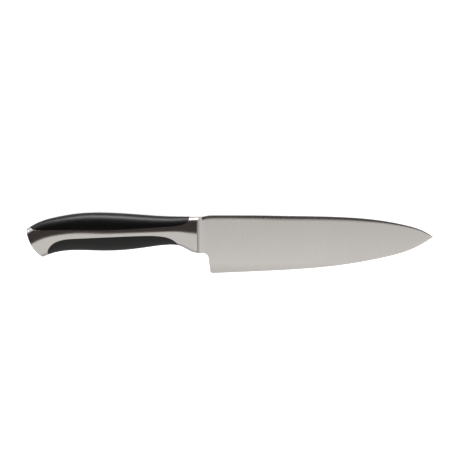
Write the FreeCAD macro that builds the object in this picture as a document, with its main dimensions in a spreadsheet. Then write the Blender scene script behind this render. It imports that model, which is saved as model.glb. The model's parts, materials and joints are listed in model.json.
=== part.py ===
"""Chef's knife: a forged blade with a bolster and tang, in a hollow steel handle with two black grip inlays.

The knife is drawn in its own frame: X runs from the handle to the tip, Y from the cutting edge to the spine,
and Z across the thickness. X is 0 at the front rim of the bolster and Y is 0 on the handle's centre line.
Each finished piece is then laid down the way the knife rests on a table, on its side with the spine raised.
All lengths are millimetres and all angles degrees.
"""

import FreeCAD, Part
import math
import os
import re

import Sketcher

# Handle form: an ellipse at each station, as position, top, low and full width.
STATIONS = {
    "tail": (-124.0, 0.9, -28.3, 16.0),
    "butt": (-113.0, 7.1, -20.2, 16.0),
    "heel": (-101.0, 10.7, -15.2, 17.2),
    "palm": (-87.0, 13.2, -13.7, 18.2),
    "belly": (-69.0, 14.1, -14.1, 18.8),
    "waist": (-51.0, 13.3, -13.4, 18.2),
    "grip": (-35.0, 12.1, -11.3, 16.3),
    "neck": (-21.0, 11.3, -9.7, 14.6),
    "throat": (-12.0, 11.2, -11.0, 13.6),
    "guard": (-5.0, 11.2, -14.9, 13.0),
    "front": (1.0, 11.15, -16.3, 13.0),
    "nose": (8.0, 11.0, -16.6, 13.0),
}

# Curves that a few points describe, as X, Y in the knife's side view.
CURVES = {
    "shoulder_curve": [(3.0, 11.1), (6.3, 11.9), (10.5, 12.25)],
    "spine_curve": [(36.0, 12.25), (60.0, 11.9), (100.0, 11.0), (125.0, 9.0), (147.0, 4.9), (158.5, 1.2),
                    (167.6, -4.0)],
    "edge_curve": [(167.6, -4.0), (153.0, -13.1), (135.0, -19.1), (110.0, -24.3), (80.0, -28.0),
                   (45.0, -30.2), (10.2, -31.8)],
    "upper_seam": [(-123.2, 5.9), (-119.4, 3.6), (-112.0, 3.1), (-98.0, 4.0), (-70.0, 4.1), (-41.0, 5.05),
                   (-20.0, 6.0), (-11.5, 7.0), (-7.5, 8.9), (-6.0, 11.2), (-5.4, 14.5)],
    "lower_seam": [(-105.8, -20.0), (-107.2, -13.5), (-104.5, -7.8), (-98.0, -3.8), (-87.0, -2.2),
                   (-60.0, -0.8), (-38.0, -0.3), (-26.0, -1.1), (-19.0, -3.5), (-15.3, -7.1), (-13.3, -11.0),
                   (-12.3, -14.5)],
}

# Single dimensions.
SIZES = {
    "blank_gauge": 3.0,  # bar stock that the blade is ground from
    "spine_gauge": 2.5,  # blade thickness at the spine, above the heel
    "heel_gauge": 0.4,  # thickness behind the cutting edge at the heel, before honing
    "tip_gauge": 0.9,  # thickness at the tip, before honing
    "root_x": -2.0,  # the blade's root inside the bolster
    "root_top": 9.5,
    "root_low": -14.0,
    "heel_x": 8.4,
    "heel_round": 1.8,
    "notch_x": 7.3,
    "notch_low": -20.4,
    "notch_round": 3.9,
    "hone_angle": 11.0,  # honed bevel, each side
    "hone_reach": 6.0,
    "crown_round": 4.6,  # the spine's rounding, each side, and the flat ridge it leaves along the top
    "crown_ridge": 0.5,
    "crown_angle": 38.0,  # how far the rounding has turned from the middle plane where it meets the ridge
    "crown_foot_angle": 2.0,  # where the cutter's arc starts, off the face, and ends above the spine
    "crown_head_angle": 41.0,
    "crown_x": 7.0,  # where the rounding is full, and the curve it leaves the spine on towards the bolster
    "crown_lead_round": 10.0,
    "crown_lead_angle": 35.0,
    "ramp_foot": 2.1,  # where the bolster's hollow ramp runs out into the blade
    "ramp_round": 3.0,
    "seam_x": -3.0,  # weld between the bolster and the handle shells
    "spigot_x": -9.0,  # rear end of the spigot that fills the shells behind the weld
    "block_end": 5.2,
    "shell_gauge": 1.2,
    "inlay_depth": 3.0,
    "plate_gauge": 1.5,
    "butt_x": -79.6,  # centre and radius of the handle's rounded end
    "butt_y": 13.0,
    "butt_round": 44.0,
    "tang_root": -8.0,
    "tang_top": 6.0,
    "tang_low": -4.5,
    "tang_end": -92.0,
    "tang_end_top": 3.5,
    "tang_end_low": -2.5,
    "tang_gauge": 2.5,
    "rivet_y": 0.5,
    "rivet_shank": 4.0,
    "rivet_head": 7.0,
    "rivet_head_tall": 1.0,
    "rivet_sunk": 0.9,
    "rivet_play": 0.1,
    "peg_across": 3.0,
    "peg_deep": 3.2,
    "peg_root": 1.0,
    "reach": 60.0,  # half size of the cutting blocks, well past the handle
    "rest_roll": 4.05,  # how the knife balances on a table: spine up a little, tip down a little
    "rest_pitch": 2.24,
    "rest_x": -22.639,
    "rest_y": 8.817,
    "rest_z": 7.149,
}

PEG_STATIONS = ("heel", "belly", "grip")
RIVETS = {"rear": "palm", "front": "waist"}
UP = FreeCAD.Vector(0, 0, 1)
SIDE_VIEW = FreeCAD.Rotation()
CROSS_SECTION = FreeCAD.Rotation(FreeCAD.Vector(1, 1, 1), 120)  # local X to Y, Y to Z, Z to X
UPWARD = FreeCAD.Rotation(FreeCAD.Vector(1, 0, 0), -90)  # local Z to Y
ROUND_MID = 1 - math.sqrt(0.5)  # how far a quarter circle's middle stands off its corner, over its radius

doc = FreeCAD.newDocument("chef_knife")


def make_sheet():
    """The spreadsheet of driving dimensions, one named cell each."""
    sheet = doc.addObject("Spreadsheet::Sheet", "Dimensions")
    cells = dict(SIZES)
    for station, numbers in STATIONS.items():
        cells.update(zip((f"{station}_pos", f"{station}_top", f"{station}_low", f"{station}_wide"), numbers))
    for curve, points in CURVES.items():
        for number, (x, y) in enumerate(points, start=1):
            cells[f"{curve}_{number}_x"] = x
            cells[f"{curve}_{number}_y"] = y
    for row, (alias, value) in enumerate(cells.items(), start=1):
        sheet.set(f"A{row}", alias)
        sheet.set(f"B{row}", str(value))
        sheet.setAlias(f"B{row}", alias)
    doc.recompute()
    return sheet


SHEET = make_sheet()


def size(alias):
    """The number in a cell."""
    return float(SHEET.get(alias))


def bind(thing, **formulas):
    """Binds properties to formulas over the sheet's names. A double underscore stands for a dot."""
    for name, formula in formulas.items():
        text = re.sub(r"\b([a-z]+(?:_[a-z0-9]+)+|reach)\b", r"Dimensions.\1", formula)
        thing.setExpression(name.replace("__", "."), text)
    return thing


def new(kind, name, **links):
    """A new document object with its linked objects set."""
    thing = doc.addObject(kind, name)
    for key, value in links.items():
        setattr(thing, key, value)
    return thing


def box(name, x_low, x_high, y_low, y_high, z_low, z_high):
    """A box between bound limits."""
    block = new("Part::Box", name)
    return bind(block, Length=f"({x_high}) - ({x_low})", Width=f"({y_high}) - ({y_low})",
                Height=f"({z_high}) - ({z_low})", Placement__Base__x=x_low, Placement__Base__y=y_low,
                Placement__Base__z=z_low)


def rod(name, radius, length, x, y, z, along=SIDE_VIEW):
    """A cylinder with its foot at x, y, z, along local Z of the given rotation."""
    cylinder = new("Part::Cylinder", name)
    cylinder.Placement.Rotation = along
    return bind(cylinder, Radius=radius, Height=length, Placement__Base__x=x, Placement__Base__y=y,
                Placement__Base__z=z)


def slab(name, x_low, x_high):
    """A box over the handle's whole height and width, between two bound X limits."""
    return box(name, x_low, x_high, "-reach", "reach", "-reach", "reach")


def cut(name, base, tool):
    return new("Part::Cut", name, Base=base, Tool=tool, Refine=False)


def common(name, base, tool):
    return new("Part::Common", name, Base=base, Tool=tool, Refine=False)


def fuse(name, *shapes):
    return new("Part::MultiFuse", name, Shapes=list(shapes), Refine=False)


def handle_form(name, inset):
    """The handle's smooth body, set in from the outer surface by a bound amount."""
    rings = []
    for station in STATIONS:
        ring = new("Part::Ellipse", f"{name}_{station}")
        ring.Placement.Rotation = CROSS_SECTION
        bind(ring, MajorRadius=f"({station}_top - {station}_low) / 2 - {inset}",
             MinorRadius=f"{station}_wide / 2 - {inset}", Placement__Base__x=f"{station}_pos",
             Placement__Base__y=f"({station}_top + {station}_low) / 2")
        rings.append(ring)
    return new("Part::Loft", name, Sections=rings, Solid=True, Ruled=False)


def curve_points(curve):
    """The points of a named curve, read back from the sheet."""
    count = len(CURVES[curve])
    return [FreeCAD.Vector(size(f"{curve}_{n}_x"), size(f"{curve}_{n}_y"), 0) for n in range(1, count + 1)]


def smooth(curve):
    """A spline through a named curve's points."""
    spline = Part.BSplineCurve()
    spline.interpolate(curve_points(curve))
    return spline


def spine_line():
    """The spine's spline, which sets out level so that it carries on from the straight behind it."""
    spline, points = Part.BSplineCurve(), curve_points("spine_curve")
    spline.interpolate(Points=points, Tangents=[point(1, 0)] * len(points),
                       TangentFlags=[True] + [False] * (len(points) - 1))
    return spline


def point(x, y):
    """A point in the side view."""
    return FreeCAD.Vector(x, y, 0)


def outline(*corners):
    """Straight edges through the corners."""
    return [Part.LineSegment(a, b) for a, b in zip(corners, corners[1:])]


def profile_body(name, geometry, length):
    """A body whose closed side-view sketch is padded both ways from the knife's middle plane."""
    body = doc.addObject("PartDesign::Body", name)
    sketch = body.newObject("Sketcher::SketchObject", f"{name}_sketch")
    plane = next(p for p in body.Origin.OriginFeatures if p.Role == "XY_Plane")
    sketch.AttachmentSupport = [(plane, "")]
    sketch.MapMode = "FlatFace"
    for number, edge in enumerate(geometry):
        sketch.addGeometry(edge, False)
        sketch.addConstraint(Sketcher.Constraint("Block", number))
    pad = body.newObject("PartDesign::Pad", f"{name}_pad")
    pad.Profile = sketch
    pad.SideType = "Symmetric"
    bind(pad, Length=length)
    return body


def seam_region(name, curve, way):
    """Everything above an inlay's seam, or below it where way is -1."""
    seam = smooth(curve)
    start, end = seam.StartPoint, seam.EndPoint
    far = way * size("reach")
    edges = outline(end, point(end.x, far), point(start.x, far), start)
    return profile_body(name, [seam, *edges], "reach")


def butt_region(name, radius, front):
    """All of the handle ahead of its rounded end, up to a bound X."""
    tube = rod(f"{name}_round", radius, "2 * reach", "butt_x", "butt_y", "-reach")
    low, high = f"butt_y - ({radius})", f"butt_y + ({radius})"
    return fuse(name, tube, box(f"{name}_block", "butt_x", front, low, high, "-reach", "reach"))


def blade_blank():
    """The blade's outline in bar stock, with a root that reaches into the bolster."""
    shoulder, spine, edge = smooth("shoulder_curve"), spine_line(), smooth("edge_curve")
    heel_low = edge.EndPoint
    heel_round, notch_round, root = size("heel_round"), size("notch_round"), size("root_x")
    heel = point(size("heel_x"), heel_low.y + heel_round)
    heel_mid = point(heel.x + heel_round * ROUND_MID, heel_low.y + heel_round * ROUND_MID)
    notch = point(size("notch_x"), size("notch_low"))
    notch_top = point(notch.x - notch_round, notch.y + notch_round)
    notch_mid = point(notch.x - notch_round * ROUND_MID, notch_top.y - notch_round * ROUND_MID)
    return profile_body("blade_blank", [
        shoulder, *outline(shoulder.EndPoint, spine.StartPoint), spine, edge,
        Part.Arc(heel_low, heel_mid, heel), *outline(heel, notch), Part.Arc(notch, notch_mid, notch_top),
        *outline(notch_top, point(root, size("root_low")), point(root, size("root_top")),
                 shoulder.StartPoint)], "blank_gauge")


def tang():
    """The flat tang, with a hole for each rivet."""
    root, rear = size("tang_root"), size("tang_end")
    root_top = point(root, size("tang_top"))
    bar = profile_body("tang", outline(
        root_top, point(rear, size("tang_end_top")), point(rear, size("tang_end_low")),
        point(root, size("tang_low")), root_top), "tang_gauge")
    holes = [rod(f"tang_hole_{station}", "rivet_shank / 2 + rivet_play", "2 * reach", f"{station}_pos",
                 "rivet_y", "-reach") for station in RIVETS.values()]
    return cut("drilled_tang", bar, fuse("tang_holes", *holes))


def face_plane():
    """The flat ground face's height over the middle plane at X = Y = 0, and its slopes along X and Y."""
    spine_y, edge = spine_line().StartPoint.y, smooth("edge_curve")
    tip, heel = edge.StartPoint, edge.EndPoint
    half_spine, half_heel, half_tip = (size(f"{place}_gauge") / 2 for place in ("spine", "heel", "tip"))
    slope_y = (half_spine - half_heel) / (spine_y - heel.y)
    slope_x = (half_tip - half_heel - slope_y * (tip.y - heel.y)) / (tip.x - heel.x)
    return half_heel - slope_y * heel.y - slope_x * heel.x, slope_x, slope_y


def grind_cutter(name, side):
    """What grinding takes off one side: a flat blade face that ends in the bolster's hollow ramp."""
    foot, round_, top = size("ramp_foot"), size("ramp_round"), size("reach")
    rim, end = foot - round_, spine_line().EndPoint.x + top
    mid = round_ * ROUND_MID
    wheel = Part.Arc(point(rim, round_), point(rim + mid, mid), point(foot, 0))
    body = profile_body(name, [
        wheel, *outline(point(foot, 0), point(end, 0), point(end, top), point(rim, top),
                        point(rim, round_))], "4 * reach")
    level, slope_x, slope_y = face_plane()
    lean = FreeCAD.Rotation(UP * side, FreeCAD.Vector(-slope_x, -slope_y, side))
    upright = FreeCAD.Rotation(FreeCAD.Vector(1, 0, 0), 90 * side)
    body.Placement = FreeCAD.Placement(UP * side * level, lean * upright)
    return body


def swept_cutter(name, path, profile):
    """A cutter with a closed profile, carried along a path of smoothly joined edges."""
    track = new("Part::Feature", f"{name}_path", Shape=Part.Wire([edge.toShape() for edge in path]))
    section = new("Part::Feature", f"{name}_profile", Shape=Part.Wire([edge.toShape() for edge in profile]))
    edges = [f"Edge{number}" for number in range(1, len(path) + 1)]
    return new("Part::Sweep", name, Sections=[section], Spine=(track, edges), Solid=True, Frenet=False)


def hone_cutter(name, side):
    """The honed bevel along one side of the cutting edge, from past the tip to past the heel."""
    edge, run, slope = smooth("edge_curve"), size("hone_reach"), math.tan(math.radians(size("hone_angle")))
    tip, heel = edge.StartPoint, edge.EndPoint
    tip_way, heel_way = edge.tangent(edge.FirstParameter)[0], edge.tangent(edge.LastParameter)[0]
    start, inward = tip - tip_way * run, tip_way.cross(UP)
    low, high, lift = start - inward, start + inward * run, UP * side * size("blank_gauge")
    corner = low - UP * side * slope
    return swept_cutter(
        name, [Part.LineSegment(start, tip), edge, Part.LineSegment(heel, heel + heel_way * run)],
        outline(corner, high + UP * side * run * slope, high + lift, low + lift, corner))


def crown_cutter(name, side):
    """The rounding along one side of the spine, which comes down onto it ahead of the bolster."""
    spine, run, round_, turn = spine_line(), size("hone_reach"), size("crown_round"), size("crown_angle")
    full = point(size("crown_x"), spine.StartPoint.y)
    tip, tip_way = spine.EndPoint, spine.tangent(spine.LastParameter)[0]

    def lead(share):
        angle, lead_round = math.radians(size("crown_lead_angle") * share), size("crown_lead_round")
        return point(full.x - lead_round * math.sin(angle), full.y + lead_round * (1 - math.cos(angle)))

    start, lean = lead(1), math.radians(size("crown_lead_angle"))
    upward, outward = point(math.sin(lean), math.cos(lean)), UP * side

    def arc_point(angle):
        turned = math.radians(angle)
        return (upward * math.sin(turned) + outward * math.cos(turned)) * round_

    centre = start + outward * size("crown_ridge") / 2 - arc_point(turn)
    foot, middle, top = (centre + arc_point(angle) for angle in (
        size("crown_foot_angle"), turn / 2, size("crown_head_angle")))
    high, clear = top + upward * run, outward * run
    return swept_cutter(
        name, [Part.Arc(start, lead(0.5), full), *outline(full, spine.StartPoint), spine,
               *outline(tip, tip + tip_way * run)],
        [Part.Arc(foot, middle, top), *outline(top, high, high + clear, foot + clear, foot)])


def blade(outer, inner, inlays):
    """The forging: blade, bolster, spigot and tang in one piece of steel."""
    block = common("bolster_block", outer, slab("bolster_span", "seam_x", "block_end"))
    plug = common("spigot_block", inner, slab("spigot_span", "spigot_x", "seam_x"))
    forging = fuse("forging", blade_blank(), block, cut("spigot", plug, inlays), tang())
    grinding = fuse("grinding", grind_cutter("right_grind", 1), grind_cutter("left_grind", -1))
    honing = fuse("honing", hone_cutter("right_hone", 1), hone_cutter("left_hone", -1))
    forging = cut("ground_forging", forging, grinding)
    for hand, side in (("right", 1), ("left", -1)):
        forging = cut(f"{hand}_crowned_forging", forging, crown_cutter(f"{hand}_crown", side))
    return cut("honed_blade", forging, honing)


def peg(name, station, way):
    """A moulded peg that holds an inlay in the core, under the upper surface or above the lower one."""
    upper, lower = f"{station}_top - inlay_depth - peg_deep", f"{station}_low + inlay_depth - peg_root"
    foot = upper if way > 0 else lower
    return rod(name, "peg_across / 2", "peg_deep + peg_root", f"{station}_pos", foot, "0", UPWARD)


def rivet(name, station):
    """A steel rivet through both core halves and the tang, with a flush head at each end."""
    half = f"({station}_wide / 2 - shell_gauge - rivet_sunk)"
    place = (f"{station}_pos", "rivet_y")
    shank = rod(f"{name}_shank", "rivet_shank / 2", f"2 * {half}", *place, f"-{half}")
    heads = [rod(f"{name}_head_{number}", "rivet_head / 2", "rivet_head_tall", *place, foot)
             for number, foot in enumerate((f"-{half}", f"{half} - rivet_head_tall"), start=1)]
    return fuse(name, shank, *heads)


def half_space(name, side):
    """Everything on one side of the knife's middle plane."""
    low, high = ("0", "reach") if side > 0 else ("-reach", "0")
    return box(name, "-3 * reach", "reach", "-reach", "reach", low, high)


def build():
    """Every finished piece, by the name of its node."""
    outer = handle_form("outer_form", "0")
    inner = handle_form("inner_form", "shell_gauge")
    bed = handle_form("inlay_bed", "inlay_depth")
    upper_zone = seam_region("upper_zone", "upper_seam", 1)
    lower_zone = seam_region("lower_zone", "lower_seam", -1)
    whole = butt_region("whole_handle", "butt_round", "seam_x")
    inside = butt_region("inside_plate", "butt_round - plate_gauge", "seam_x")
    right, left = half_space("right_half", 1), half_space("left_half", -1)

    handle = common("handle_solid", outer, inside)
    blanks = {"upper": cut("upper_blank", common("upper_slice", handle, upper_zone), bed),
              "lower": cut("lower_blank", common("lower_slice", handle, lower_zone), bed)}
    pegs = {name: [peg(f"{name}_peg_{station}", station, way) for station in PEG_STATIONS]
            for name, way in (("upper", 1), ("lower", -1))}
    inlays = {name: fuse(f"{name}_moulding", blanks[name], *pegs[name]) for name in blanks}
    rivets = {name: rivet(f"{name}_riveting", station) for name, station in RIVETS.items()}

    forging = blade(outer, inner, fuse("inlay_blanks", *blanks.values()))
    skin = cut("skin", handle, fuse("skin_cutter", inner, upper_zone, lower_zone))
    filling = common("filling", common("filling_form", inner, inside),
                     slab("filling_span", "-3 * reach", "spigot_x"))
    core = cut("core", filling, fuse("core_cutter", forging, *inlays.values(), *rivets.values()))
    pieces = {
        "blade": forging,
        "handle_shell_right": common("right_skin", skin, right),
        "handle_shell_left": common("left_skin", skin, left),
        "butt_plate": cut("end_plate", common("butt_end", outer, whole), inside),
        "core_right": common("right_core", core, right),
        "core_left": common("left_core", core, left),
        **{f"{name}_inlay": moulding for name, moulding in inlays.items()},
        **{f"{name}_rivet": riveting for name, riveting in rivets.items()},
    }
    doc.recompute()
    return pieces


def check_nodes(nodes):
    """Stops on any object that failed, and on any finished piece that isn't one valid solid."""
    for thing in doc.Objects:
        if "Invalid" in thing.State or "Error" in thing.State:
            raise RuntimeError(f"{thing.Name}: {thing.State}")
    for label, node in nodes.items():
        shape = node.Shape
        if shape.isNull() or not shape.isValid() or len(shape.Solids) != 1:
            raise RuntimeError(f"{label} is not one valid solid")


def lay_down(pieces):
    """Wraps each piece under its node's name, turned and moved to where it rests on the table."""
    place = "create(<<vector>>; rest_x; rest_y; rest_z)"
    turn = "create(<<rotation>>; 0; rest_pitch; rest_roll)"
    nodes = {}
    for node, piece in pieces.items():
        nodes[node] = new("Part::Compound", f"{node}_node", Links=[piece], Label=node)
        bind(nodes[node], Placement=f"create(<<placement>>; {place}; {turn})")
    doc.recompute()
    return nodes


def main():
    nodes = lay_down(build())
    check_nodes(nodes)
    os.makedirs("parts", exist_ok=True)
    for label, node in nodes.items():
        node.Shape.Solids[0].exportStep(f"parts/{label}.step")


main()
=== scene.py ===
"""Chef's knife on a pale table: steel blade and bolster, a steel-skinned handle and two black grip inlays.

The pieces are drawn in the knife's own frame, in millimetres: X from the bolster's front rim to the tip,
Y towards the spine and Z across the thickness. They are then laid down as the CAD knife lies.
"""

import json
import math

import bmesh
import bpy
import numpy as np
from mathutils import Euler, Matrix, Vector

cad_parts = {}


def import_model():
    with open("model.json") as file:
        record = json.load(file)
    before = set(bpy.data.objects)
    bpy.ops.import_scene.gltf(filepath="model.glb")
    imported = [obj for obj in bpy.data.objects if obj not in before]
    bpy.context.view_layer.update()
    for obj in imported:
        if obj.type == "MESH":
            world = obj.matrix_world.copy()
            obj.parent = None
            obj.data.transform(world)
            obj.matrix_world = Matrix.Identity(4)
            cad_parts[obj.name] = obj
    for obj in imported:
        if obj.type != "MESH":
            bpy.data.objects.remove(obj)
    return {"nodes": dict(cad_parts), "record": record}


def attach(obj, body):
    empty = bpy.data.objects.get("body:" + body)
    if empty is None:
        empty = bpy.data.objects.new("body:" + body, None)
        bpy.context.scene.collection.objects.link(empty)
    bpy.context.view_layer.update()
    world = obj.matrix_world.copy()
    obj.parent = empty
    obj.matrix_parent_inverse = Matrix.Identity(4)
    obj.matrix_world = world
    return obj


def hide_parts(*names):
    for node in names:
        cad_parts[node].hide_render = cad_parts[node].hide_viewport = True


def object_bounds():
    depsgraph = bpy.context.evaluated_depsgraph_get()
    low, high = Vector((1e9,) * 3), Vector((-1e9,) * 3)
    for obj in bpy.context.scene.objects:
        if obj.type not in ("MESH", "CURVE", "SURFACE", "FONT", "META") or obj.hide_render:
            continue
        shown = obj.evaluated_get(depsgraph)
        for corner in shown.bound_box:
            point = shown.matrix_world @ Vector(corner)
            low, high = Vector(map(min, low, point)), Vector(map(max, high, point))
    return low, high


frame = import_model()
CAD_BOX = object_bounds()

MM = 0.001
SIDE_VIEW_TILT = math.radians(20.0)  # the camera stands this far from the blade's normal, towards the spine

# The knife's rest on the table, as in the CAD. The grip mount gives its place.
ROLL, PITCH = math.radians(4.05), math.radians(2.24)
GRIP_AT = Vector((-60.0, 0.0, 0.0))
MOUNTS = {mount["name"]: mount for mount in frame["record"]["mounts"]}
REST = Euler((ROLL, PITCH, 0.0), "XYZ").to_matrix()
ORIGIN = Vector(MOUNTS["grip"]["pos_m"]) - REST @ (GRIP_AT * MM)
TO_ROW = Matrix.LocRotScale(ORIGIN, REST, (MM, MM, MM))

# Handle form: an ellipse at each X, given by its top, its low and its full width.
STATIONS = [
    (-124.0, 0.9, -28.3, 16.0), (-113.0, 7.1, -20.2, 16.0), (-101.0, 10.7, -15.2, 17.2),
    (-87.0, 13.2, -13.7, 18.2), (-69.0, 14.1, -14.1, 18.8), (-51.0, 13.3, -13.4, 18.2),
    (-35.0, 12.1, -11.3, 16.3), (-21.0, 11.3, -9.7, 14.6), (-12.0, 11.2, -11.0, 13.6),
    (-5.0, 11.2, -14.9, 13.0), (1.0, 11.15, -16.3, 13.0), (8.0, 11.0, -16.6, 13.0),
]
UPPER_SEAM = [(-123.2, 5.9), (-119.4, 3.6), (-112.0, 3.1), (-98.0, 4.0), (-70.0, 4.1), (-41.0, 5.05),
              (-20.0, 6.0), (-11.5, 7.0), (-7.5, 8.9), (-6.0, 11.2), (-5.4, 14.5)]
LOWER_SEAM = [(-105.8, -20.0), (-107.2, -13.5), (-104.5, -7.8), (-98.0, -3.8), (-87.0, -2.2), (-60.0, -0.8),
              (-38.0, -0.3), (-26.0, -1.1), (-19.0, -3.5), (-15.3, -7.1), (-13.3, -11.0), (-12.3, -14.5)]
BUTT_CENTRE, BUTT_ROUND = (-79.6, 13.0), 44.0

# Blade: its outline in the side view, and the ground faces.
SHOULDER = [(3.0, 11.1), (6.3, 11.9), (10.5, 12.25)]
SPINE = [(36.0, 12.25), (60.0, 11.9), (100.0, 11.0), (125.0, 9.0), (147.0, 4.9), (158.5, 1.2),
         (167.6, -4.0)]
EDGE = [(10.2, -31.8), (45.0, -30.2), (80.0, -28.0), (110.0, -24.3), (135.0, -19.1), (153.0, -13.1),
        (167.6, -4.0)]
HEEL_ROUND = 1.8
NOTCH, NOTCH_ROUND = (7.3, -20.4), 3.9
SPINE_HALF, HEEL_HALF, TIP_HALF = 1.25, 0.2, 0.45  # half thickness above the heel, at the heel, at the tip
HONE_SLOPE = math.tan(math.radians(11.0))
FOOT_X, RAMP_ROUND = 2.1, 3.0  # where the bolster's hollow ramp meets the blade's face, and its radius
CROWN_DEPTHS = [(20, 60, 120, 145, 165), (1.0, 1.4, 1.35, 0.9, 0.7)]  # how slowly the spine's rounding fades
CROWN_FULL_X, CROWN_ROOM = 2.9, 3.0  # where along X the rounding is full, and the blade's height it needs
CROWN_TURNS = math.radians(39) * np.exp(-np.linspace(0, 3, 16))  # how far its rows lean, ridge first
BLOCK_END = 5.2  # where the bolster's own top line gives way to the blade's shoulder
BLADE_EDGE_ROUND, RIM_ROUND = 0.12, 0.7
RIM_START, RIM_END = 0.72, 0.25  # the rows stop and start again here, as shares of the form and of the ramp
FORM_ROWS, RAMP_ROWS, FACE_ROWS, CORNER_POINTS = 12, 16, 30, 12

WELD_X = -3.0  # where the handle's skin meets the bolster
TANG_CUT_X = WELD_X - 0.05  # the tang's own mesh ends just behind the weld
SKIN_GAUGE, INLAY_GAUGE = 1.2, 2.0
HAIRLINE = 0.04  # half of the gap between an inlay and the steel
EDGE_ROUND, BUTT_EDGE_ROUND = 0.18, 0.45
COLUMNS, ROWS, CAP_ROWS = 220, 26, 14
CURVE_POINTS = 6000
WELD_GAP, CUT_GAP = 0.004, 0.0001  # points nearer than this become one, in a weld and at the tang's cut
TIP_REACH, TIP_ROWS = 1.5, 12  # the rounded tip of the upper inlay, along X from its end
BUTT_FADE = 10  # how many columns of the skin follow the butt's curve
EVENING = 0.1  # how far an inlay's middle line is spaced evenly rather than as its seam


def natural_spline(knots, values, start=None):
    """The smooth curve through values at rising knots, as a function. A slope to start with can be set."""
    knots, values = np.asarray(knots, float), np.asarray(values, float)
    step, count = np.diff(knots), len(knots)
    system, bend = np.eye(count), np.zeros_like(values)
    for i in range(1, count - 1):
        system[i, i - 1:i + 2] = step[i - 1], 2 * (step[i - 1] + step[i]), step[i]
        bend[i] = 6 * ((values[i + 1] - values[i]) / step[i] - (values[i] - values[i - 1]) / step[i - 1])
    if start is not None:
        system[0, :2] = 2 * step[0], step[0]
        bend[0] = 6 * ((values[1] - values[0]) / step[0] - start)
    curvature = np.linalg.solve(system, bend)

    def at(place):
        place = np.asarray(place, float)
        i = np.clip(np.searchsorted(knots, place) - 1, 0, count - 2)
        width = step[i][:, None]
        ahead, behind = (knots[i + 1] - place)[:, None], (place - knots[i])[:, None]
        cubic = (curvature[i] * ahead ** 3 + curvature[i + 1] * behind ** 3) / (6 * width)
        linear = (values[i] / width - curvature[i] * width / 6) * ahead
        return cubic + linear + (values[i + 1] / width - curvature[i + 1] * width / 6) * behind

    return at


SECTION = natural_spline([s[0] for s in STATIONS],
                         [((top + low) / 2, (top - low) / 2, wide / 2) for _, top, low, wide in STATIONS])


def on_form(path):
    """Points on the handle's surface from (X, angle) pairs, with angle 0 at the top and pi at the bottom."""
    x, angle = path[..., 0].ravel(), path[..., 1].ravel()
    centre, high, wide = SECTION(x).T
    points = np.stack([x, centre + high * np.cos(angle), wide * np.sin(angle)], axis=-1)
    return points.reshape(*path.shape[:-1], 3)


def even(path, count):
    """A path of (X, angle) pairs again, with count of them evenly spaced over the surface."""
    points = on_form(path)
    length = np.concatenate([[0], np.cumsum(np.linalg.norm(np.diff(points, axis=0), axis=1))])
    where = np.linspace(0, length[-1], count)
    return np.stack([np.interp(where, length, path[:, i]) for i in (0, 1)], axis=-1)


def side_curve(points, start=None):
    """Closely spaced points of the smooth curve through a few side-view points."""
    points = np.asarray(points, float)
    knots = np.concatenate([[0], np.cumsum(np.linalg.norm(np.diff(points, axis=0), axis=1))])
    return natural_spline(knots, points, start)(np.linspace(0, knots[-1], CURVE_POINTS))


def wrap(curve):
    """The part of a side-view curve that crosses the handle, as (X, angle) pairs ended on the middle line."""
    centre, high, _ = SECTION(curve[:, 0]).T
    level = (curve[:, 1] - centre) / high
    on = np.flatnonzero(np.abs(level) < 1)
    path = np.stack([curve[on, 0], np.arccos(level[on])], axis=-1)
    for end in (0, -1):
        path[end, 1] = 0.0 if path[end, 1] < math.pi / 2 else math.pi
    return path


def shifted(path, distance):
    """A path moved over the surface by distance, to its left with X to the right and angle downwards."""
    slope = np.gradient(path, axis=0)
    _, high, wide = SECTION(path[:, 0]).T
    stretch = np.hypot(high * np.sin(path[:, 1]), wide * np.cos(path[:, 1]))
    along, across = slope[:, 0], slope[:, 1] * stretch
    size = np.hypot(along, across)
    moved = path + distance * np.stack([across / size, -along / size / stretch], axis=-1)
    moved[:, 1] = np.clip(moved[:, 1], 0, math.pi)
    return moved


def between(first, second, rows):
    """A grid of (X, angle) pairs from one path to another."""
    share = np.linspace(0, 1, rows)[None, :, None]
    return first[:, None, :] * (1 - share) + second[:, None, :] * share


def middle_line(path, angle):
    """Points on the handle's top or bottom line to go with a seam's points."""
    reach = np.maximum.accumulate(path[:, 0])
    low, high = path[0, 0], path[-1, 0]
    share = np.clip((reach - low) / (high - low), 0, 1)
    share += EVENING * (np.linspace(0, 1, len(path)) - share)
    return np.stack([low + (high - low) * share, np.full(len(path), angle)], axis=-1)


def arc(centre, radius, start, end, count):
    """Points along a side-view arc between two angles in degrees."""
    turn = np.radians(np.linspace(start, end, count))
    return np.stack([centre[0] + radius * np.cos(turn), centre[1] + radius * np.sin(turn)], axis=-1)


def butt_path():
    """The butt end's curve round the right side, from its top corner to its bottom corner."""
    return wrap(arc(BUTT_CENTRE, BUTT_ROUND, 150, 250, 4000))


def add_grid(bm, points):
    """Quads over a grid of points."""
    verts = [[bm.verts.new(p) for p in row] for row in points]
    for near, far in zip(verts, verts[1:]):
        for a, b, c, d in zip(near, near[1:], far[1:], far):
            bm.faces.new((a, b, c, d))


def put(name, bm):
    """A new object in the scene, with a bmesh's faces."""
    mesh = bpy.data.meshes.new(name)
    bm.to_mesh(mesh)
    bm.free()
    obj = bpy.data.objects.new(name, mesh)
    bpy.context.scene.collection.objects.link(obj)
    return obj


def mirrored(points):
    """The left side's copy of a right-side grid, wound the other way."""
    return points[::-1] * (1, 1, -1)


def end_cap(rim):
    """A grid straight across the knife, from a rim on the right side to its mirror image."""
    across = np.linspace(1, -1, CAP_ROWS)
    return rim[:, None, :] * np.stack([np.ones(CAP_ROWS), np.ones(CAP_ROWS), across], -1)


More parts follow.
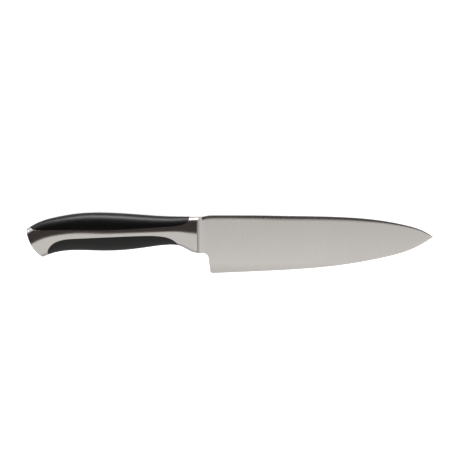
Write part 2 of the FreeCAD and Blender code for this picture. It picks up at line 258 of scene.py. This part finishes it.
def weld(bm):
    """Joins grids that meet and drops faces that have closed up."""
    bmesh.ops.remove_doubles(bm, verts=bm.verts, dist=WELD_GAP)
    bmesh.ops.dissolve_degenerate(bm, edges=bm.edges, dist=WELD_GAP)


def piece(name, bm, gauge, weights, nodes, crease=40):
    """A piece laid down as the knife lies, with weighted edges rounded, and thickened inwards by a gauge."""
    layer = bm.edges.layers.float.new("bevel_weight_edge")
    for edge in bm.edges:
        edge[layer] = weights(edge)
        edge.smooth = edge.calc_face_angle(0) < math.radians(crease)
        if edge.is_boundary and edge[layer] == 0:
            edge.smooth = False
    for face in bm.faces:
        face.smooth = True
    obj = put(name, bm)
    obj.data.transform(TO_ROW)
    if gauge:
        solid = obj.modifiers.new("thickness", "SOLIDIFY")
        solid.thickness, solid.offset, solid.use_even_offset = gauge * MM, -1, False
    bevel = obj.modifiers.new("edges", "BEVEL")
    bevel.limit_method, bevel.segments = "WEIGHT", 3
    bevel.width = RIM_ROUND * MM  # the widest rounding; the weights are shares of it
    bevel.use_clamp_overlap = True
    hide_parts(*nodes)
    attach(obj, "root")
    return obj


def inlay(name, seam, angle, nodes):
    """A black grip inlay, wrapped over the handle's top (angle 0) or bottom (angle pi) from seam to seam."""
    inward = 1 if angle == 0 else -1
    edge = shifted(even(wrap(side_curve(seam)), COLUMNS), inward * HAIRLINE)
    points = on_form(between(edge, middle_line(edge, angle), ROWS))
    if angle == 0:
        points = points[:, ::-1]
    bm = bmesh.new()
    add_grid(bm, points)
    add_grid(bm, mirrored(points))
    weld(bm)
    return piece(name, bm, INLAY_GAUGE, lambda e: EDGE_ROUND / RIM_ROUND if e.is_boundary else 0.0,
                 nodes)


def skin():
    """The handle's steel skin: both welded halves and the rounded butt, with windows for the inlays."""
    upper = even(wrap(side_curve(UPPER_SEAM)), COLUMNS)
    lower = even(wrap(side_curve(LOWER_SEAM)), COLUMNS)
    upper, lower = shifted(upper, -HAIRLINE), shifted(lower, HAIRLINE)
    upper[[0, -1], 1], lower[[0, -1], 1] = 0.0, math.pi
    turn = int(np.argmax(upper[:, 0] > upper[0, 0] + TIP_REACH))
    butt = butt_path()
    split = int(np.argmax(butt[:, 1] > upper[turn, 1]))
    butt_low = even(butt[split:], 2 * ROWS - 1)
    top = even_between_corners(np.concatenate([butt[split:split + 1], upper[turn:], [(WELD_X, 0.0)]]))
    bottom = even_between_corners(np.concatenate([[butt[-1]], lower, [(WELD_X, math.pi)]]))
    middle_x = np.linspace(butt_low[ROWS - 1, 0], WELD_X, len(top))
    middle = np.stack([middle_x, (top[:, 1] + bottom[:, 1]) / 2], -1)
    fade = np.clip(1 - np.arange(len(top)) / BUTT_FADE, 0, 1) ** 2
    middle += fade[:, None] * (butt_low[ROWS - 1] - middle[0])
    grid = np.concatenate([between(top, middle, ROWS), between(middle, bottom, ROWS)[:, 1:]], axis=1)
    grid += fade[:, None, None] * (butt_low - grid[0])[None]
    corner = corner_patch(even(butt[:split + 1], TIP_ROWS), even(upper[:turn + 1], TIP_ROWS), top)
    points, corner = on_form(grid), on_form(corner)
    bm = bmesh.new()
    for patch in (points, corner):
        add_grid(bm, patch)
        add_grid(bm, mirrored(patch))
    add_grid(bm, end_cap(np.concatenate([corner[0], points[0, 1:]])))
    weld(bm)

    def weight(e):
        if e.is_boundary:
            return 0.0 if all(v.co.x > WELD_X - 0.01 for v in e.verts) else EDGE_ROUND / RIM_ROUND
        return BUTT_EDGE_ROUND / RIM_ROUND if e.calc_face_angle(0) > math.radians(40) else 0.0

    return piece("handle_skin", bm, SKIN_GAUGE, weight,
                 ["handle_shell_right", "handle_shell_left", "butt_plate"])


def corner_patch(left, right, top):
    """The steel between the butt and the upper inlay's rounded tip, down to the start of the top path."""
    count = int(np.argmin(np.abs(top - right[-1]).sum(axis=-1)))
    share = ((top[:count + 1, 0] - top[0, 0]) / (top[count, 0] - top[0, 0]))[:, None, None]
    patch = left[None] * (1 - share) + right[None] * share
    patch[:, -1] = top[:count + 1]
    return patch


def even_between_corners(path):
    """A path resampled to COLUMNS points, with its first, second and last-but-one corners kept."""
    points = on_form(path)
    length = np.concatenate([[0], np.cumsum(np.linalg.norm(np.diff(points, axis=0), axis=1))])
    corners = [length[0], length[1], length[-2], length[-1]]
    shares = np.diff(corners) / corners[-1]
    counts = [max(3, round(COLUMNS * shares[0])), 0, max(3, round(COLUMNS * shares[2]))]
    counts[1] = COLUMNS - counts[0] - counts[2]
    stretches = [np.linspace(a, b, n, endpoint=False) for a, b, n in zip(corners, corners[1:], counts)]
    where = np.concatenate([*stretches, [corners[-1]]])
    return np.stack([np.interp(where, length, path[:, i]) for i in (0, 1)], axis=-1)


def half_thickness(x, y):
    """Half of the blade's thickness between its flat ground faces."""
    heel_x, heel_y = EDGE[0]
    slope_y = (SPINE_HALF - HEEL_HALF) / (SPINE[0][1] - heel_y)
    slope_x = (TIP_HALF - HEEL_HALF - slope_y * (EDGE[-1][1] - heel_y)) / (EDGE[-1][0] - heel_x)
    return HEEL_HALF + slope_x * (x - heel_x) + slope_y * (y - heel_y)


def blade_bottom():
    """The blade's lower outline from the bolster's chin, round the notch and the heel, to the tip."""
    centre = (NOTCH[0] - NOTCH_ROUND, NOTCH[1])
    start = math.degrees(math.acos((FOOT_X - centre[0]) / NOTCH_ROUND))
    notch = arc(centre, NOTCH_ROUND, start, 0, CORNER_POINTS)
    middle, high, _ = SECTION(np.array([FOOT_X]))[0]
    notch[:, 1] += np.linspace(middle - high - notch[0, 1], 0, len(notch))
    heel_x, heel_y = EDGE[0]
    heel = arc((heel_x, heel_y + HEEL_ROUND), HEEL_ROUND, 180, 270, CORNER_POINTS)
    line = np.linspace(notch[-1], heel[0], 8)[1:-1]
    edge = side_curve(EDGE)[::40]
    return np.concatenate([notch, line, heel, edge[1:-1], [EDGE[-1]]]), len(notch) + len(line) + len(heel)


def blade_top(x):
    """The spine's height at each X."""
    path = np.concatenate([side_curve(SHOULDER), side_curve(SPINE, start=np.array([1.0, 0.0]))])
    middle, high, _ = SECTION(x).T
    return np.maximum(np.interp(x, path[:, 0], path[:, 1]), np.where(x < BLOCK_END, middle + high, -np.inf))


def edge_distance(x, y):
    """How far points stand off the cutting edge, or off its straight run-out past the heel."""
    edge = side_curve(EDGE)[::10]
    edge = np.concatenate([[edge[0] - (edge[1] - edge[0]) * 20], edge])
    across = np.hypot(x[..., None] - edge[:, 0], y[..., None] - edge[:, 1])
    near = across.min(axis=-1)
    way = (edge[1] - edge[0]) / np.linalg.norm(edge[1] - edge[0])
    past = np.abs((x - edge[1, 0]) * way[1] - (y - edge[1, 1]) * way[0])
    return np.where(x < edge[1, 0], past, near)


def crown(x, top):
    """The rounded spine at each X: rows of height and half thickness, from the middle line to the flat."""
    full = half_thickness(x, top)
    depth = (np.interp(x, *CROWN_DEPTHS) / SPINE_HALF * full)[:, None]
    down = depth * np.log(CROWN_TURNS[0] / CROWN_TURNS)
    sag = CROWN_TURNS + CROWN_TURNS ** 3 / 9
    out = full[:, None] - depth * (sag - sag[-1])
    _, high, wide = SECTION(np.array([FOOT_X]))[0]
    form = high * (1 - np.sqrt(1 - (out / wide) ** 2))
    share = np.clip((x - FOOT_X) / (CROWN_FULL_X - FOOT_X), 0, 1)[:, None]
    down = form + (down - form) * share ** 2 * (3 - 2 * share)
    down, out = np.pad(down, ((0, 0), (1, 0))), np.pad(out, ((0, 0), (1, 0)))
    return top[:, None] - down, out


def blade_rows():
    """The form's angles for the blade's rows at the ramp's foot: spine crown, face and the chin's edge."""
    middle, high, wide = SECTION(np.array([FOOT_X]))[0]
    _, out = crown(np.array([FOOT_X]), np.array([middle + high]))
    upper = np.arcsin(out[0] / wide)
    low = half_thickness(FOOT_X, middle - high)
    lower = math.pi - np.arcsin(np.array([low, low - BLADE_EDGE_ROUND, 0]) / wide)
    turn = [math.atan2(math.sin(a) * high, math.cos(a) * wide) for a in (upper[-1], lower[0])]
    turns = np.linspace(*turn, FACE_ROWS)[1:-1]
    face = np.arctan2(np.sin(turns) * wide, np.cos(turns) * high)
    return np.concatenate([upper, face, lower])


def bolster(angles):
    """The bolster's right side: the handle's form up to the rim, then the hollow ramp down to its foot."""
    rim = np.full(len(angles), 0.0)
    for _ in range(8):
        _, y, z = on_form(np.stack([rim, angles], -1)).T
        high = np.clip(z - half_thickness(rim, y), 0, RAMP_ROUND)
        rim = FOOT_X - np.sqrt(high * (2 * RAMP_ROUND - high))
    share = np.append(np.linspace(0, RIM_START, FORM_ROWS), 1)[:, None]
    form = on_form(np.stack(np.broadcast_arrays(WELD_X + (rim - WELD_X) * share, angles), -1))
    _, foot_y, _ = on_form(np.stack([np.full(len(angles), FOOT_X), angles], -1)).T
    down = np.linspace(RIM_END, 1, RAMP_ROWS)[:, None]
    turn = np.arccos(1 - high / RAMP_ROUND) * (1 - down)
    x = FOOT_X - RAMP_ROUND * np.sin(turn)
    y = form[-1, :, 1] + (foot_y - form[-1, :, 1]) * down
    z = half_thickness(x, y) + RAMP_ROUND * (1 - np.cos(turn))
    flat = high <= 0
    z[:, flat] = form[-1, flat, 2]
    return np.concatenate([form, np.stack([x, y, z], -1)])


def blade_side(angles, start):
    """The blade's right side ahead of the ramp, with its crowned spine and honed bevel."""
    bottom, heel_count = blade_bottom()
    x = bottom[:, 0].copy()
    x[:heel_count] = np.linspace(FOOT_X, x[heel_count - 1], heel_count)
    top = blade_top(x)
    top[0] = start[0, 1]
    crown_y, crown_z = crown(x, top)
    height = top - bottom[:, 1]
    squeeze = np.clip(height / CROWN_ROOM, 0, 1)[:, None]
    crown_y = top[:, None] - (top[:, None] - crown_y) * squeeze
    upper = np.stack([np.broadcast_to(x[:, None], crown_y.shape), crown_y], -1)
    inward = upper[:, -1] - bottom
    inward /= np.maximum(np.linalg.norm(inward, axis=-1), 1e-9)[:, None]
    bevel = half_thickness(*bottom.T) / HONE_SLOPE - edge_distance(*bottom.T)
    bevel = np.minimum(np.maximum(bevel, BLADE_EDGE_ROUND), height / 2)
    low = bottom + inward * bevel[:, None]
    crowned, count = crown_y.shape[1], len(angles)
    share = (start[crowned - 1, 1] - start[crowned:count - 3, 1]) / (start[crowned - 1, 1] - start[-3, 1])
    face = upper[:, -1:] + (low - upper[:, -1])[:, None] * share[None, :, None]
    side = np.concatenate([upper, face, low[:, None], bottom[:, None], bottom[:, None]], axis=1)
    honed = HONE_SLOPE * edge_distance(side[..., 0], side[..., 1])
    z = half_thickness(side[..., 0], side[..., 1])
    z[:, :crowned] = crown_z
    z = np.minimum(z, honed)
    z[:, -2] = np.maximum(z[:, -2] - BLADE_EDGE_ROUND, 0)
    z[:, -1] = 0
    return np.concatenate([side, z[..., None]], axis=-1)[1:]


def add_tang(bm):
    """Adds the spigot and the tang behind the bolster, cut from the CAD forging and closed at the cut."""
    mesh = frame["nodes"]["blade"].data.copy()
    mesh.transform(TO_ROW.inverted())
    tang = bmesh.new()
    tang.from_mesh(mesh)
    bmesh.ops.remove_doubles(tang, verts=tang.verts, dist=WELD_GAP / 4)
    bmesh.ops.bisect_plane(tang, geom=[*tang.verts, *tang.edges, *tang.faces], plane_co=(TANG_CUT_X, 0, 0),
                           plane_no=(1, 0, 0), clear_outer=True, dist=CUT_GAP)
    bmesh.ops.holes_fill(tang, edges=[edge for edge in tang.edges if edge.is_boundary], sides=0)
    tang.to_mesh(mesh)
    tang.free()
    bm.from_mesh(mesh)
    bpy.data.meshes.remove(mesh)


def blade():
    """The forging: blade and bolster drawn as one smooth skin, with the tang behind them."""
    angles = blade_rows()
    back = bolster(angles)
    points = np.concatenate([back, blade_side(angles, back[-1])])
    bm = bmesh.new()
    add_grid(bm, points)
    add_grid(bm, mirrored(points))
    add_grid(bm, end_cap(points[0]))
    weld(bm)
    rims = {e for e in bm.edges if is_rim(e)}
    add_tang(bm)
    return piece("forging", bm, 0, lambda e: 1.0 if e in rims else 0.0, ["blade"], crease=9)


def is_rim(edge):
    """Whether an edge is on the bolster's front rim."""
    x = sum(v.co.x for v in edge.verts) / 2
    return -1 < x < 4 and len(edge.link_faces) == 2 and edge.calc_face_angle(0) > math.radians(30)


# Materials


class Nodes:
    """A small helper for one material's node tree."""

    def __init__(self, name):
        self.material = bpy.data.materials.new(name)
        self.material.use_nodes = True
        self.tree = self.material.node_tree
        self.shader = self.tree.nodes["Principled BSDF"]

    def add(self, kind, inputs=None, **settings):
        node = self.tree.nodes.new(kind)
        for key, value in settings.items():
            setattr(node, key, value)
        for key, value in (inputs or {}).items():
            if isinstance(value, bpy.types.NodeSocket):
                self.tree.links.new(value, node.inputs[key])
            else:
                node.inputs[key].default_value = value
        return node

    def noise(self, scale, detail=4.0, stretch=(1.0, 1.0, 1.0)):
        """Noise over the object's own coordinates, with a number of cells per metre along each axis."""
        place = self.add("ShaderNodeTexCoord").outputs["Object"]
        cells = tuple(scale * s for s in stretch)
        spread = self.add("ShaderNodeMapping", {"Vector": place, "Scale": cells})
        return self.add("ShaderNodeTexNoise", {"Vector": spread.outputs[0], "Scale": 1.0, "Detail": detail,
                                               "Roughness": 0.6}).outputs["Fac"]

    def between(self, value, low, high, start=0.0, end=1.0):
        """A value that goes from start to end, spread over the range from low to high."""
        return self.add("ShaderNodeMapRange", {"Value": value, "From Min": start, "From Max": end,
                                               "To Min": low, "To Max": high}).outputs[0]

    def blend(self, share, first, second):
        node = self.add("ShaderNodeMix", data_type="RGBA")
        for socket, value in ((node.inputs[0], share), (node.inputs[6], first), (node.inputs[7], second)):
            if isinstance(value, bpy.types.NodeSocket):
                self.tree.links.new(value, socket)
            else:
                socket.default_value = value
        return node.outputs[2]

    def math(self, operation, *values):
        return self.add("ShaderNodeMath", dict(enumerate(values)), operation=operation).outputs[0]

    def bump(self, height, strength, distance):
        inputs = {"Height": height, "Strength": strength, "Distance": distance}
        return self.add("ShaderNodeBump", inputs).outputs[0]

    def set(self, **inputs):
        """Sets the shader's inputs. An underscore stands for a space."""
        for key, value in inputs.items():
            socket = self.shader.inputs[key.replace("_", " ")]
            if isinstance(value, bpy.types.NodeSocket):
                self.tree.links.new(value, socket)
            else:
                socket.default_value = value


def grey(level, warmth=0.0):
    return (level * (1 + warmth), level, level * (1 - warmth), 1.0)


def blade_material():
    """Satin steel of the forging, ground from spine to edge on the blade's faces and smoother elsewhere. Its
    colour holds painted shade that darkens the faces towards the spine, and it grows darker towards the
    cutting edge.
    """
    m = Nodes("blade_steel")
    x, y, _ = m.add("ShaderNodeSeparateXYZ", {0: m.add("ShaderNodeTexCoord").outputs["Object"]}).outputs
    ramp, flat_x = ((TO_ROW @ Vector((at, 0, 0))).x for at in (1.5, 6.5))
    ground = m.between(x, 0, 1, ramp, flat_x)
    edge, soft, spine = ((TO_ROW @ Vector((40, level, 0))).y for level in (-32, -24, 11))
    # painted shade: the base colour darkens from the lower face up to the spine, standing in for the darker
    # reflection there
    painted_spine_shade = m.between(y, 0.97, 0.82, soft, spine)
    # the base colour grows darker towards the cutting edge
    edge_darkening = m.between(y, 0.86, 1.0, edge, soft)
    lines = m.noise(900, 5, (1.6, 0.03, 0.4))
    fine = m.noise(5200, 2, (1.0, 0.02, 0.4))
    tone = m.math("ADD", m.between(lines, -0.03, 0.03), m.between(m.noise(26, 3), -0.04, 0.04))
    tone = m.math("MULTIPLY", m.math("ADD", tone, painted_spine_shade), edge_darkening)
    normal = m.add("ShaderNodeTexCoord").outputs["Normal"]
    up = REST @ Vector((0, 1, 0))
    rise = m.add("ShaderNodeVectorMath", {0: normal, 1: up}, operation="DOT_PRODUCT").outputs["Value"]
    flatness = m.between(rise, 0, 1, 0.09, 0.03)
    streaks = m.math("MULTIPLY", m.between(lines, -0.05, 0.05), flatness)
    scratches = m.math("ADD", m.between(lines, 0, 0.7), m.between(fine, 0, 0.3))
    scratches = m.math("MULTIPLY", scratches, m.math("MULTIPLY", ground, flatness))
    m.set(Base_Color=m.blend(tone, grey(0.0), grey(0.735, 0.03)), Metallic=1.0,
          Roughness=m.math("ADD", streaks, m.between(ground, 0.15, 0.27)),
          Normal=m.bump(scratches, 0.06, 0.00003))
    return m.material


def handle_material():
    """Satin steel of the handle's skin, polished lengthwise."""
    m = Nodes("handle_steel")
    lines = m.noise(1500, 4, (0.05, 1.0, 1.0))
    clouds = m.noise(60, 3)
    tone = m.math("ADD", m.between(lines, 0, 0.5), m.between(clouds, 0, 0.5))
    m.set(Base_Color=m.blend(tone, grey(0.59, 0.03), grey(0.69, 0.03)), Metallic=1.0,
          Roughness=m.between(lines, 0.1, 0.17), Normal=m.bump(lines, 0.1, 0.00002))
    return m.material


def inlay_material():
    """Black moulded plastic with a fine even grain, a little shinier where hands have rubbed it."""
    m = Nodes("black_inlay")
    grain = m.noise(6500, 2)
    rubbed = m.noise(45, 3)
    m.set(Base_Color=m.blend(rubbed, grey(0.001), grey(0.002)), Roughness=m.between(rubbed, 0.3, 0.38),
          Specular_IOR_Level=0.34, Normal=m.bump(grain, 0.25, 0.00003))
    return m.material


def core_material():
    """The hidden core's dark moulded plastic."""
    m = Nodes("core_plastic")
    m.set(Base_Color=m.blend(m.noise(300, 3), grey(0.04), grey(0.07)), Roughness=0.6)
    return m.material


def rivet_material():
    """Turned steel of the hidden rivets."""
    m = Nodes("rivet_steel")
    m.set(Base_Color=grey(0.6), Metallic=1.0, Roughness=m.between(m.noise(2500, 3), 0.25, 0.45))
    return m.material


def floor_material():
    """A plain white light table with the faintest unevenness."""
    m = Nodes("table_white")
    m.set(Base_Color=m.blend(m.noise(8, 2), grey(0.78), grey(0.8)), Roughness=0.7, Specular_IOR_Level=0.2,
          Emission_Color=grey(1.0), Emission_Strength=0.7)
    return m.material


def glow_material(name, level, tint):
    """A studio card that shines evenly."""
    m = Nodes(name)
    m.set(Base_Color=grey(0.0), Specular_IOR_Level=0.0, Emission_Color=(*tint, 1.0),
          Emission_Strength=level)
    return m.material


def paint(obj, material):
    """Gives an object one material."""
    obj.data.materials.clear()
    obj.data.materials.append(material)


# The studio

MIDDLE = (CAD_BOX[0] + CAD_BOX[1]) / 2
TABLE_HALF, TABLE_GAP = 6.0, 0.0002
CARD_RADIUS, CARD_HALF, CARD_STEPS = 0.7, 1.3, 24
CARD_SINK = 0.001  # how far the cards under the knife lie below it
# The dark card's lower edge, as X in metres and an angle in degrees. It dips towards the handle's waist.
DIP = np.array([(-CARD_HALF, -11), (-0.19, -11), (-0.117, -15.5), (-0.02, -11), (CARD_HALF, -11)])
GLARE_END = -0.33  # the bright strip's left end
DIP_SOFT = 4  # degrees over which the dark card's lower edge fades


def floor():
    """A plain pale table top, which doesn't show in the steel."""
    bm = bmesh.new()
    bmesh.ops.create_grid(bm, x_segments=1, y_segments=1, size=TABLE_HALF)
    obj = put("table_top", bm)
    obj.location = (0, 0, CAD_BOX[0].z - TABLE_GAP)
    paint(obj, floor_material())
    obj.visible_glossy = False


def card(name, points, level, tint=(1.0, 1.0, 1.0)):
    """A studio card over a grid of points, which shows only in reflections."""
    bm = bmesh.new()
    add_grid(bm, points)
    obj = put(name, bm)
    paint(obj, glow_material(name, level, tint))
    for ray in ("camera", "diffuse", "transmission", "volume_scatter", "shadow"):
        setattr(obj, f"visible_{ray}", False)


def bent(low, high, left=-CARD_HALF):
    """A sheet bent round the knife's length, between two angles from straight up, in degrees spineward."""
    turns = np.radians(np.linspace(low, high, CARD_STEPS))
    ring = np.stack([np.zeros_like(turns), CARD_RADIUS * np.sin(turns), CARD_RADIUS * np.cos(turns)], -1)
    return np.stack([ring + (MIDDLE.x + end, MIDDLE.y, 0) for end in (left, CARD_HALF)])


def bowed(low, high):
    """A bent sheet between two angles, one or both of them given at each place along DIP."""
    turns = np.radians(np.linspace(low, high, CARD_STEPS)).T
    return np.stack([np.broadcast_to(DIP[:, :1], turns.shape), MIDDLE.y + CARD_RADIUS * np.sin(turns),
                     CARD_RADIUS * np.cos(turns)], -1)


def upright(far):
    """A sheet across the knife's length, beyond the tip."""
    return np.array([[(MIDDLE.x + far, MIDDLE.y + side, level) for side in (-CARD_RADIUS, CARD_RADIUS)]
                     for level in (0, CARD_RADIUS)])


def flat(near, far, left=-CARD_HALF):
    """A sheet along the knife just under the table top, between two distances towards the spine's side."""
    level = CAD_BOX[0].z - CARD_SINK
    return np.array([[(MIDDLE.x + end, MIDDLE.y + side, level) for side in (near, far)]
                     for end in (left, CARD_HALF)])


def lamp(name, place, size, power):
    """A big soft light over the table, which lights but doesn't show in the steel."""
    light = bpy.data.lights.new(name, "AREA")
    light.shape, light.size, light.energy = "SQUARE", size, power
    obj = bpy.data.objects.new(name, light)
    obj.location = place
    obj.rotation_euler = (MIDDLE - obj.location).to_track_quat("-Z", "Y").to_euler()
    obj.visible_glossy = False
    bpy.context.scene.collection.objects.link(obj)


def world(level):
    """Even pale light from all round."""
    sky = bpy.data.worlds.new("studio")
    sky.use_nodes = True
    sky.node_tree.nodes["Background"].inputs["Color"].default_value = (1.0, 0.985, 0.965, 1.0)
    sky.node_tree.nodes["Background"].inputs["Strength"].default_value = level
    bpy.context.scene.world = sky


def camera():
    """Square on to the knife's length, tilted towards the spine from the blade's normal."""
    lens, sensor, field = 150.0, 36.0, 327.4 * MM
    target = TO_ROW @ Vector((22.6, 1.2, 0.0))
    back = REST @ Vector((0, math.sin(SIDE_VIEW_TILT), math.cos(SIDE_VIEW_TILT)))
    up = REST @ Vector((0, math.cos(SIDE_VIEW_TILT), -math.sin(SIDE_VIEW_TILT)))
    data = bpy.data.cameras.new("camera")
    data.lens, data.sensor_width = lens, sensor
    obj = bpy.data.objects.new("camera", data)
    turn = Matrix((up.cross(back), up, back)).transposed()
    obj.matrix_world = Matrix.LocRotScale(target + back * field * lens / sensor, turn, None)
    bpy.context.scene.collection.objects.link(obj)
    bpy.context.scene.camera = obj


def main():
    paint(skin(), handle_material())
    black = inlay_material()
    paint(inlay("upper_grip", UPPER_SEAM, 0.0, ["upper_inlay"]), black)
    paint(inlay("lower_grip", LOWER_SEAM, math.pi, ["lower_inlay"]), black)
    paint(blade(), blade_material())
    core, rivet = core_material(), rivet_material()
    for nodes, material in ((("core_right", "core_left"), core), (("rear_rivet", "front_rivet"), rivet)):
        for node in nodes:
            paint(frame["nodes"][node], material)
    floor()
    world(0.78)
    low, soft = DIP[:, 1], DIP[:, 1] + DIP_SOFT
    card("soft_card", bowed(low, soft), 0.2, (1.1, 1.0, 0.95))
    card("dark_card", bowed(soft, 57), 0.048, (1.2, 1.0, 0.95))
    card("rising_card", bent(57, 66), 0.4)
    card("high_card", bent(66, 76), 0.8)
    card("bright_card", bent(76, 88, GLARE_END), 12.0)
    card("side_card", upright(0.9), 0.55)
    card("bright_table", flat(0.16, CARD_RADIUS, GLARE_END), 16.0)
    card("middle_table", flat(0.07, 0.16), 1.2)
    card("near_table", flat(0.01, 0.07), 0.74)
    card("dim_table", flat(-CARD_RADIUS, 0.01), 0.5)
    lamp("overhead", MIDDLE + Vector((0, -0.3, 1.6)), 1.6, 14.0)
    camera()
    bpy.context.scene.view_settings.view_transform = "Standard"


main()
